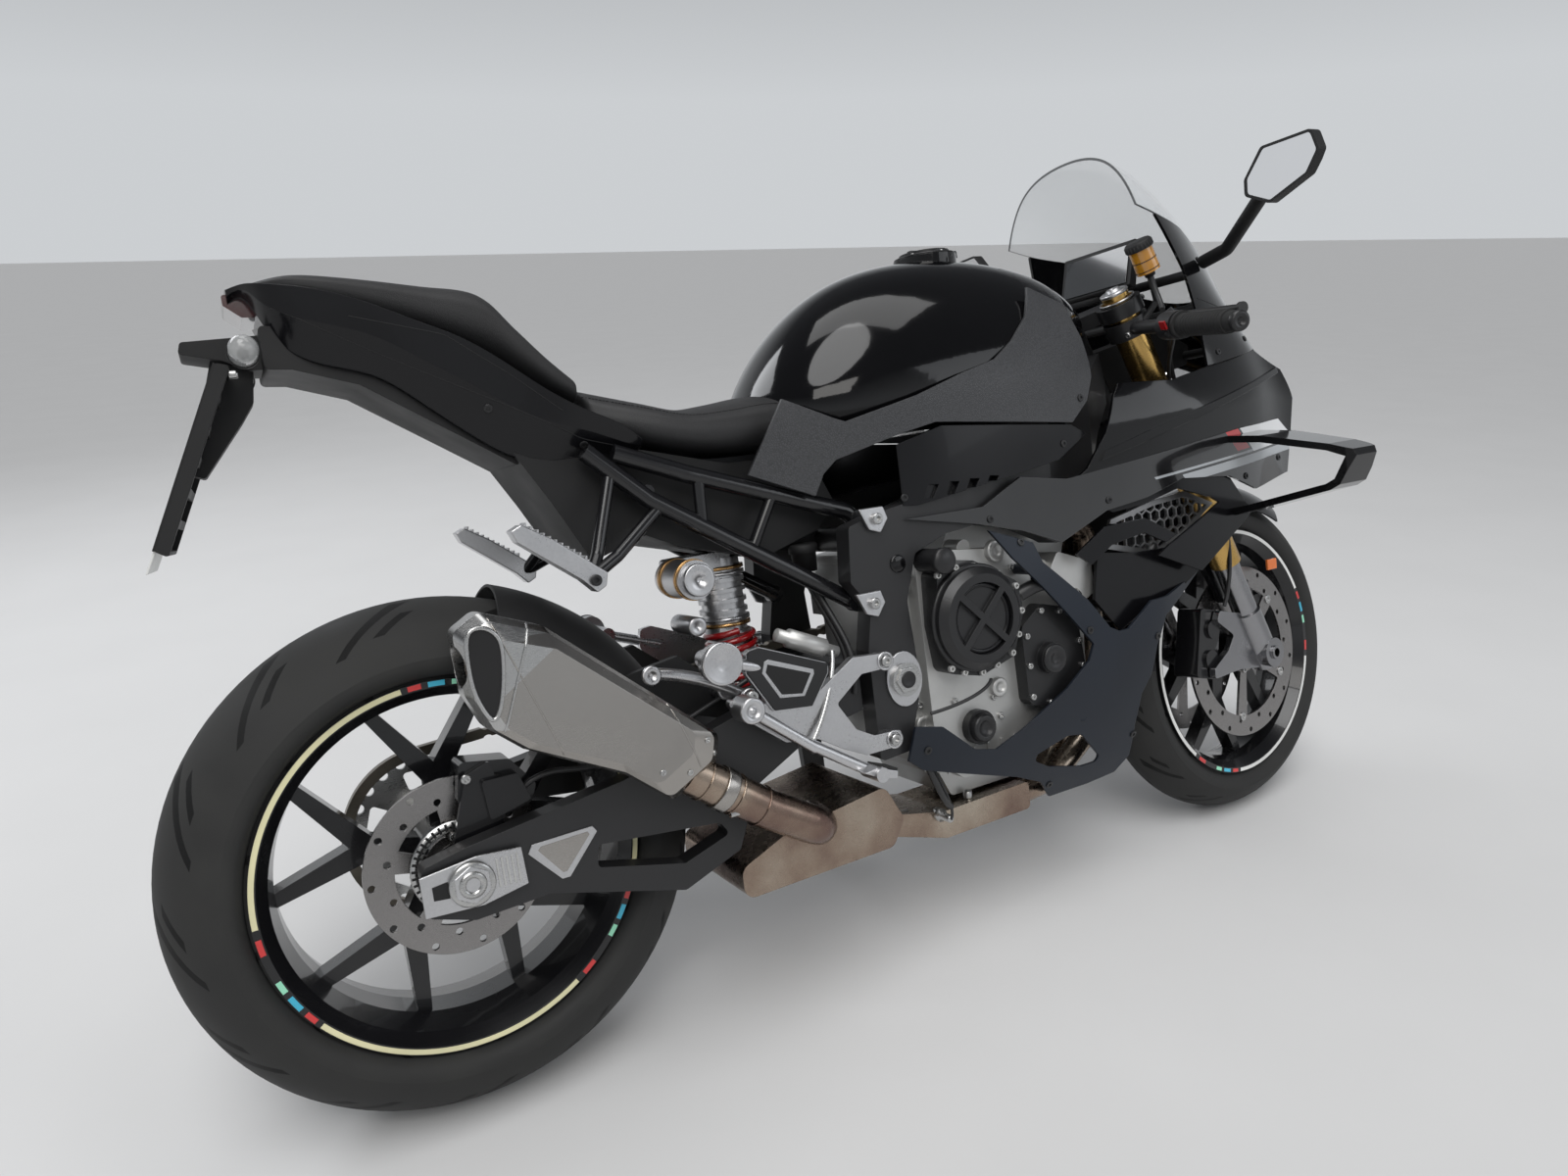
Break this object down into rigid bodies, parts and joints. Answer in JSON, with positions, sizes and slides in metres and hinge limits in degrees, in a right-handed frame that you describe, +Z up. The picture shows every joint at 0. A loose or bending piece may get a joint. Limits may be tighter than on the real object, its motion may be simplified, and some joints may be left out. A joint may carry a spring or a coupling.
{
  "type": "sport motorcycle",
  "caption": "Sport motorcycle parked on its side stand, with wheels that turn, a steered front end, a folding stand and a hinged fuel cap.",
  "frame": {"origin": "middle of the bounding box at floor level", "axes": "+X towards the front of the bike, +Y to its left, +Z up; the bike leans to its left on its side stand"},
  "size_m": [2.0819, 0.9168, 1.1973],
  "materials": {
    "black_metal": "satin black powder coat",
    "gloss_black_metal": "gloss black paint",
    "silver_cast": "fine cast, satin",
    "silver_machined": "machined, satin",
    "cover_metal": "semi-gloss black, cast",
    "steel": "bright steel",
    "disc_steel": "ground braking faces",
    "chain_steel": "oiled links",
    "tinted_steel": "heat-tinted pipes",
    "silencer_steel": "brushed can",
    "radiator_metal": "dark finned core",
    "gold_tube": "gold anodised",
    "gloss_black_plastic": "gloss black lacquer",
    "matt_black_plastic": "fine grained",
    "trim_plastic": "matt graphite with a fine raised grain",
    "belly_plastic": "matt dark blue-grey paint",
    "stripe_plastic": "white, silver and red stripes on gloss black",
    "seat_skin": "grained black seat cover",
    "clear": "clear",
    "lamp_lens": "clear lens over a dark bowl",
    "mirror_face": "silvered",
    "amber_plastic": "translucent amber",
    "grip_rubber": "soft ribbed",
    "tyre_rubber": "road tread",
    "red_plastic": "red lens",
    "mesh_metal": "silver paint"
  },
  "bodies": {
    "chassis": {"frame": "black_metal", "subframe": "gloss_black_metal", "swingarm": "black_metal", "axles": "steel", "engine_block": "silver_cast", "engine_covers": "cover_metal", "radiator": "radiator_metal", "exhaust": "tinted_steel", "silencer": "silencer_steel", "rear_caliper": "gloss_black_metal", "hugger": "matt_black_plastic", "shock": "silver_machined", "chain": "chain_steel", "front_sprocket": "steel", "tank": "gloss_black_plastic", "tank_trims": "trim_plastic", "frame_covers": "matt_black_plastic", "rider_seat": "seat_skin", "tail_fairing": "gloss_black_plastic", "pillion_pad": "seat_skin", "undertail": "matt_black_plastic", "rear_lamps": "red_plastic", "upper_panels": "gloss_black_plastic", "stripe_panels": "stripe_plastic", "lower_fairings": "belly_plastic", "gill_blades": "gloss_black_plastic", "side_mesh": "mesh_metal", "nose_fairing": "gloss_black_plastic", "headlamps": "lamp_lens", "windscreen": "clear", "cockpit": "matt_black_plastic", "winglets": "gloss_black_plastic", "mirrors": "matt_black_plastic", "mirror_glass": "mirror_face", "foot_controls": "silver_machined"},
    "steering": {"yokes": "silver_cast", "fork_tubes": "gold_tube", "fork_legs": "silver_cast", "front_calipers": "gloss_black_metal", "front_mudguard": "gloss_black_plastic", "handlebars": "black_metal", "grips": "grip_rubber", "hand_controls": "matt_black_plastic", "reservoir": "amber_plastic"},
    "front_wheel": {"front_tyre": "tyre_rubber", "front_rim": "gloss_black_metal", "front_discs": "disc_steel"},
    "rear_wheel": {"rear_tyre": "tyre_rubber", "rear_rim": "gloss_black_metal", "rear_disc": "disc_steel", "rear_sprocket": "steel"},
    "side_stand": {"side_stand": "black_metal"},
    "fuel_cap": {"fuel_cap": "silver_machined"}
  },
  "joints": [
    {"name": "steering_head", "type": "hinge", "parent": "chassis", "child": "steering", "pos_m": [0.47209, -0.01572, 0.81388], "axis": [-0.4051, 0.2134, 0.889], "range_deg": [-29.2, 18.8]},
    {"name": "front_wheel_spin", "type": "hinge", "parent": "steering", "child": "front_wheel", "pos_m": [0.74185, -0.13843, 0.29135], "axis": [-0.0829, 0.9598, -0.2682], "continuous": true},
    {"name": "rear_wheel_spin", "type": "hinge", "parent": "chassis", "child": "rear_wheel", "pos_m": [-0.71504, -0.13431, 0.31989], "axis": [0, 0.9724, -0.2334], "continuous": true},
    {"name": "side_stand_fold", "type": "hinge", "parent": "chassis", "child": "side_stand", "pos_m": [-0.11504, -0.03692, 0.20293], "axis": [0.0765, 0.8889, 0.4517], "range_deg": [0, 88]},
    {"name": "fuel_cap_lid", "type": "hinge", "parent": "chassis", "child": "fuel_cap", "pos_m": [0.19996, 0.03657, 1.03167], "axis": [0, 0.9724, -0.2334], "range_deg": [0, 100]}
  ]
}
